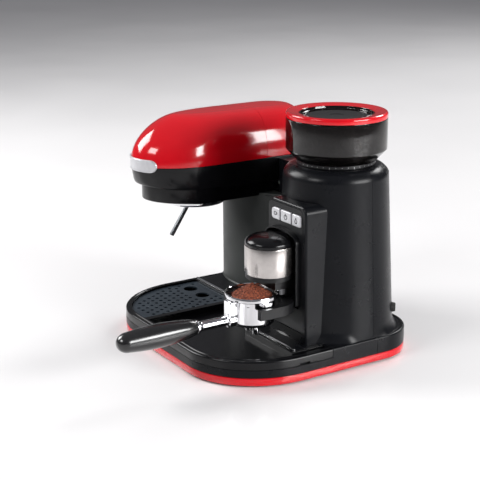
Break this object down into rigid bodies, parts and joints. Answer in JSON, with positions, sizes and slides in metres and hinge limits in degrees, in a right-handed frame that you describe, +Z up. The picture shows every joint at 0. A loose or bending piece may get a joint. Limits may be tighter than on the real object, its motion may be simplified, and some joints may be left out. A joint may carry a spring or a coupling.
{
  "type": "espresso machine with built-in grinder",
  "caption": "Countertop espresso machine with a domed brew head on the left, a coffee grinder with a round bean hopper on the right, a drip tray, steam wand and a parked filter holder.",
  "frame": {"origin": "centre of the base outline at the level of the feet's undersides", "axes": "+X to the right and +Y to the back seen from the front, +Z up"},
  "size_m": [0.363, 0.4097, 0.312],
  "materials": {
    "red_gloss": "high gloss red moulding",
    "black_body": "satin black moulding with a fine grain",
    "gloss_black": "smooth semi-gloss black",
    "panel_black": "matt black panel",
    "dark_plastic": "satin black plastic",
    "grey_face": "dark grey satin plastic",
    "rubber": "matt rubber",
    "chrome": "polished chrome",
    "silver_plate": "satin silver coating",
    "brushed_steel": "brushed around the axis",
    "steel_parts": "machined steel",
    "burr_steel": "ground hardened steel",
    "aluminium_parts": "cast",
    "brass_parts": "machined brass",
    "grate_metal": "blue-grey metallic coating",
    "dark_metal": "dark steel tube",
    "hose": "translucent silicone hose",
    "board": "green laminate",
    "chamber_plastic": "glass-filled plastic",
    "white_plastic": "natural nylon",
    "handle_black": "smooth black grip",
    "coffee": "ground coffee",
    "beans": "roasted beans",
    "clear_tank": "lightly tinted clear plastic",
    "smoked_clear": "smoked clear plastic"
  },
  "bodies": {
    "chassis": {"base_skirt": "red_gloss", "base_shell": "black_body", "bottom_plate": "dark_plastic", "feet": "rubber", "base_screws": "steel_parts", "deck_trims": "chrome", "brew_column": "grey_face", "rear_housing": "black_body", "grinder_front_shell": "black_body", "grinder_rear_shell": "black_body", "control_panel": "panel_black", "portafilter_fork": "dark_plastic", "outlet_arm": "dark_plastic", "grounds_chute": "dark_plastic", "head_base": "gloss_black", "head_skirt": "gloss_black", "head_cover": "red_gloss", "badge_plate": "silver_plate", "group_head": "chrome", "locking_ring": "dark_plastic", "group_gasket": "rubber", "shower_screen": "steel_parts", "boiler": "aluminium_parts", "pump": "brass_parts", "hoses_and_pipes": "hose", "steam_valve": "brass_parts", "circuit_boards": "board", "grinder_motor": "steel_parts", "grinding_chamber": "chamber_plastic", "shaft_bearings": "steel_parts", "cable_gland": "rubber"},
    "drip_tray": {"drip_tray": "gloss_black"},
    "grate": {"tray_grate": "grate_metal"},
    "portafilter": {"portafilter_cup": "chrome", "filter_basket": "brushed_steel", "ground_coffee": "coffee", "pour_spout": "chrome", "handle_ferrule": "chrome", "portafilter_handle": "handle_black"},
    "tamper": {"tamper_base": "brushed_steel", "tamper_knob": "gloss_black"},
    "cup_key": {"cup_button": "silver_plate"},
    "power_key": {"power_button": "silver_plate"},
    "steam_key": {"steam_button": "silver_plate"},
    "grind_lever": {"grind_switch": "silver_plate"},
    "steam_wand": {"steam_wand": "dark_metal"},
    "steam_knob": {"steam_knob": "dark_plastic"},
    "water_tank": {"water_tank": "clear_tank"},
    "fill_lid": {"fill_lid": "red_gloss"},
    "hopper": {"hopper_bowl": "smoked_clear", "adjust_collar": "dark_plastic", "upper_burr": "burr_steel", "coffee_beans": "beans"},
    "hopper_lid": {"hopper_lid_ring": "red_gloss", "hopper_lid_window": "smoked_clear"},
    "burr_drive": {"lower_burr": "burr_steel", "burr_shaft": "steel_parts", "drive_gear": "white_plastic"},
    "motor_rotor": {"motor_pinion": "brass_parts"}
  },
  "joints": [
    {"name": "tray_slide", "type": "slide", "parent": "chassis", "child": "drip_tray", "axis": [0, -1, 0], "range_m": [0, 0.16]},
    {"name": "grate_lift", "type": "slide", "parent": "drip_tray", "child": "grate", "axis": [0, 0, 1], "range_m": [0, 0.04]},
    {"name": "portafilter_pull", "type": "slide", "parent": "chassis", "child": "portafilter", "axis": [0, -1, 0], "range_m": [0, 0.12]},
    {"name": "tamper_pull", "type": "slide", "parent": "chassis", "child": "tamper", "axis": [0, -1, 0], "range_m": [0, 0.07]},
    {"name": "cup_key_press", "type": "slide", "parent": "chassis", "child": "cup_key", "axis": [0, 1, 0], "range_m": [0, 0.0015], "stiffness_N_per_m": 300, "springref_m": -0.001},
    {"name": "power_key_press", "type": "slide", "parent": "chassis", "child": "power_key", "axis": [0, 1, 0], "range_m": [0, 0.0015], "stiffness_N_per_m": 300, "springref_m": -0.001},
    {"name": "steam_key_press", "type": "slide", "parent": "chassis", "child": "steam_key", "axis": [0, 1, 0], "range_m": [0, 0.0015], "stiffness_N_per_m": 300, "springref_m": -0.001},
    {"name": "grind_lever_press", "type": "slide", "parent": "chassis", "child": "grind_lever", "axis": [0, 1, 0], "range_m": [0, 0.003], "stiffness_N_per_m": 250, "springref_m": -0.001},
    {"name": "wand_swivel", "type": "hinge", "parent": "chassis", "child": "steam_wand", "pos_m": [-0.16, 0.009, 0.176], "axis": [0, 0, 1], "range_deg": [-70, 5]},
    {"name": "steam_knob_turn", "type": "hinge", "parent": "chassis", "child": "steam_knob", "pos_m": [-0.18, 0.01, 0.211], "axis": [-1, 0, 0], "range_deg": [0, 300]},
    {"name": "tank_pull", "type": "slide", "parent": "chassis", "child": "water_tank", "axis": [0, 1, 0], "range_m": [0, 0.11]},
    {"name": "fill_lid_hinge", "type": "hinge", "parent": "chassis", "child": "fill_lid", "pos_m": [-0.118, 0.1545, 0.2254], "axis": [-1, 0, 0], "range_deg": [0, 80]},
    {"name": "grind_setting", "type": "hinge", "parent": "chassis", "child": "hopper", "pos_m": [0.091, 0.061, 0.25], "axis": [0, 0, 1], "range_deg": [-30, 30]},
    {"name": "hopper_lid_lift", "type": "slide", "parent": "hopper", "child": "hopper_lid", "axis": [0, 0, 1], "range_m": [0, 0.05]},
    {"name": "burr_spin", "type": "hinge", "parent": "chassis", "child": "burr_drive", "pos_m": [0.091, 0.061, 0.16], "axis": [0, 0, 1], "continuous": true},
    {"name": "motor_spin", "type": "hinge", "parent": "chassis", "child": "motor_rotor", "pos_m": [0.091, 0.097, 0.12], "axis": [0, 0, 1], "continuous": true}
  ],
  "couplings": [
    {"joint": "motor_spin", "follows": "burr_spin", "ratio": -5}
  ]
}
